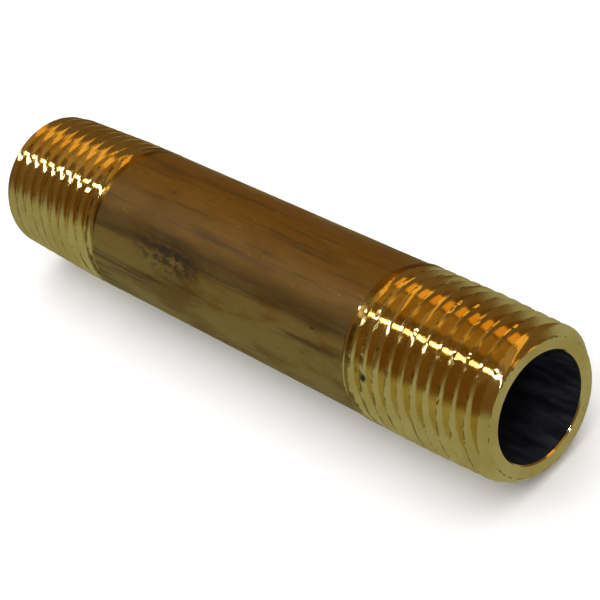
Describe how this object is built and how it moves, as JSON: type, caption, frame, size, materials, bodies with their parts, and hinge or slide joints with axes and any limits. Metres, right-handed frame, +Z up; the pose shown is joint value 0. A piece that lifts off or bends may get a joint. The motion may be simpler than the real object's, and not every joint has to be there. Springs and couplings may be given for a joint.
{
  "type": "threaded pipe nipple",
  "caption": "Straight brass pipe nipple: an open tube with an external taper pipe thread on each end and a plain round barrel between them.",
  "frame": {"origin": "on the pipe's axis at mid-length, which is the centre of its bounding box", "axes": "+X along the pipe's axis towards the front threaded end, +Z up, +Y by the right-hand rule"},
  "size_m": [0.0636, 0.014, 0.014],
  "materials": {
    "brass": "bright freshly cut brass on the threads, chamfers and end faces; dull brown-olive patina on the drawn barrel"
  },
  "bodies": {
    "root": {"nipple_body": "brass"}
  },
  "joints": []
}
